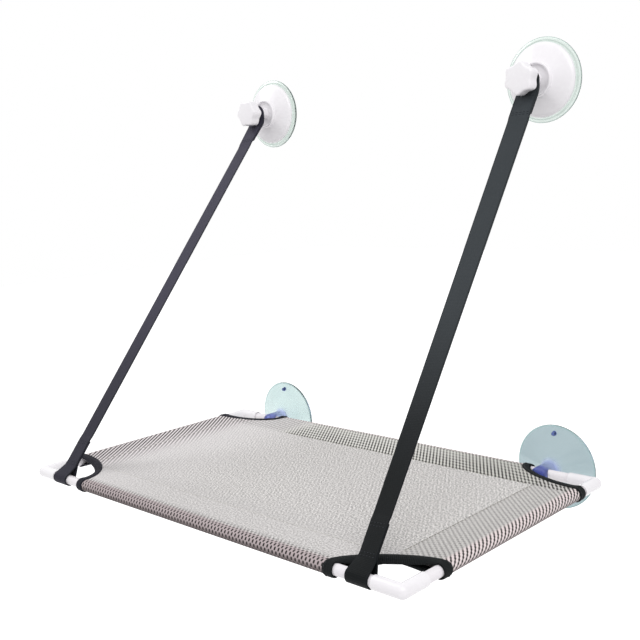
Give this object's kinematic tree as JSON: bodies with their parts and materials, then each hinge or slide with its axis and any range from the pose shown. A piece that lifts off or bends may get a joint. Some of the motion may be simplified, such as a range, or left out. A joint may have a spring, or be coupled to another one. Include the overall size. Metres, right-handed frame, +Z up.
{
  "type": "cat window bed",
  "caption": "Tube frame with a stretched mesh sling, held to a window by suction cups at the rear tube and hung by webbing straps from screw-down suction anchors above.",
  "frame": {"origin": "on the room side of the window glass, midway between the lower cups and level with the rear tube", "axes": "+X along the bed to the right as seen from the room, +Y out of the room into the glass, +Z up"},
  "size_m": [0.576, 0.366, 0.5215],
  "materials": {
    "white_tube": "smooth white powder coat",
    "white_plastic": "glossy moulded",
    "mesh_cloth": "open knitted mesh",
    "binding_tape": "woven tape",
    "webbing": "flat woven webbing",
    "clear_green": "clear flexible, faintly green",
    "clear_teal": "clear flexible, bluish green",
    "steel": "plated",
    "brass": "machined"
  },
  "bodies": {
    "glass_side": {"upper_cup_left": "clear_green", "upper_cup_right": "clear_green", "anchor_shell_left": "white_plastic", "anchor_shell_right": "white_plastic", "strap_eyelet_left": "steel", "strap_eyelet_right": "steel", "strap_left": "webbing", "strap_right": "webbing", "lower_cup_left": "clear_teal", "lower_cup_right": "clear_teal"},
    "bed": {"front_tube": "white_tube", "rear_tube": "white_tube", "left_tube": "white_tube", "right_tube": "white_tube", "elbow_front_left": "white_plastic", "elbow_front_right": "white_plastic", "elbow_rear_left": "white_plastic", "elbow_rear_right": "white_plastic", "mesh_sling": "mesh_cloth", "corner_binding_front_left": "binding_tape", "corner_binding_front_right": "binding_tape", "corner_binding_rear_left": "binding_tape", "corner_binding_rear_right": "binding_tape"},
    "knob_left": {"knob_left": "white_plastic", "knob_nut_left": "brass"},
    "knob_right": {"knob_right": "white_plastic", "knob_nut_right": "brass"},
    "stud_left": {"anchor_stud_left": "steel"},
    "stud_right": {"anchor_stud_right": "steel"}
  },
  "joints": [
    {"name": "bed_fold", "type": "hinge", "parent": "glass_side", "child": "bed", "pos_m": [0, -0.03, 0], "axis": [-1, 0, 0], "range_deg": [0, 90], "deforming": ["strap_left", "strap_right"]},
    {"name": "knob_left_turn", "type": "hinge", "parent": "glass_side", "child": "knob_left", "pos_m": [-0.21, -0.04, 0.428], "axis": [0, 1, 0], "range_deg": [-720, 0]},
    {"name": "knob_right_turn", "type": "hinge", "parent": "glass_side", "child": "knob_right", "pos_m": [0.21, -0.04, 0.428], "axis": [0, 1, 0], "range_deg": [-720, 0]},
    {"name": "stud_left_slide", "type": "slide", "parent": "glass_side", "child": "stud_left", "axis": [0, -1, 0], "range_m": [-0.0035, 0], "deforming": ["upper_cup_left"]},
    {"name": "stud_right_slide", "type": "slide", "parent": "glass_side", "child": "stud_right", "axis": [0, -1, 0], "range_m": [-0.0035, 0], "deforming": ["upper_cup_right"]}
  ],
  "couplings": [
    {"joint": "knob_left_turn", "follows": "stud_left_slide", "rad_per_m": 3590.4},
    {"joint": "knob_right_turn", "follows": "stud_right_slide", "rad_per_m": 3590.4}
  ]
}
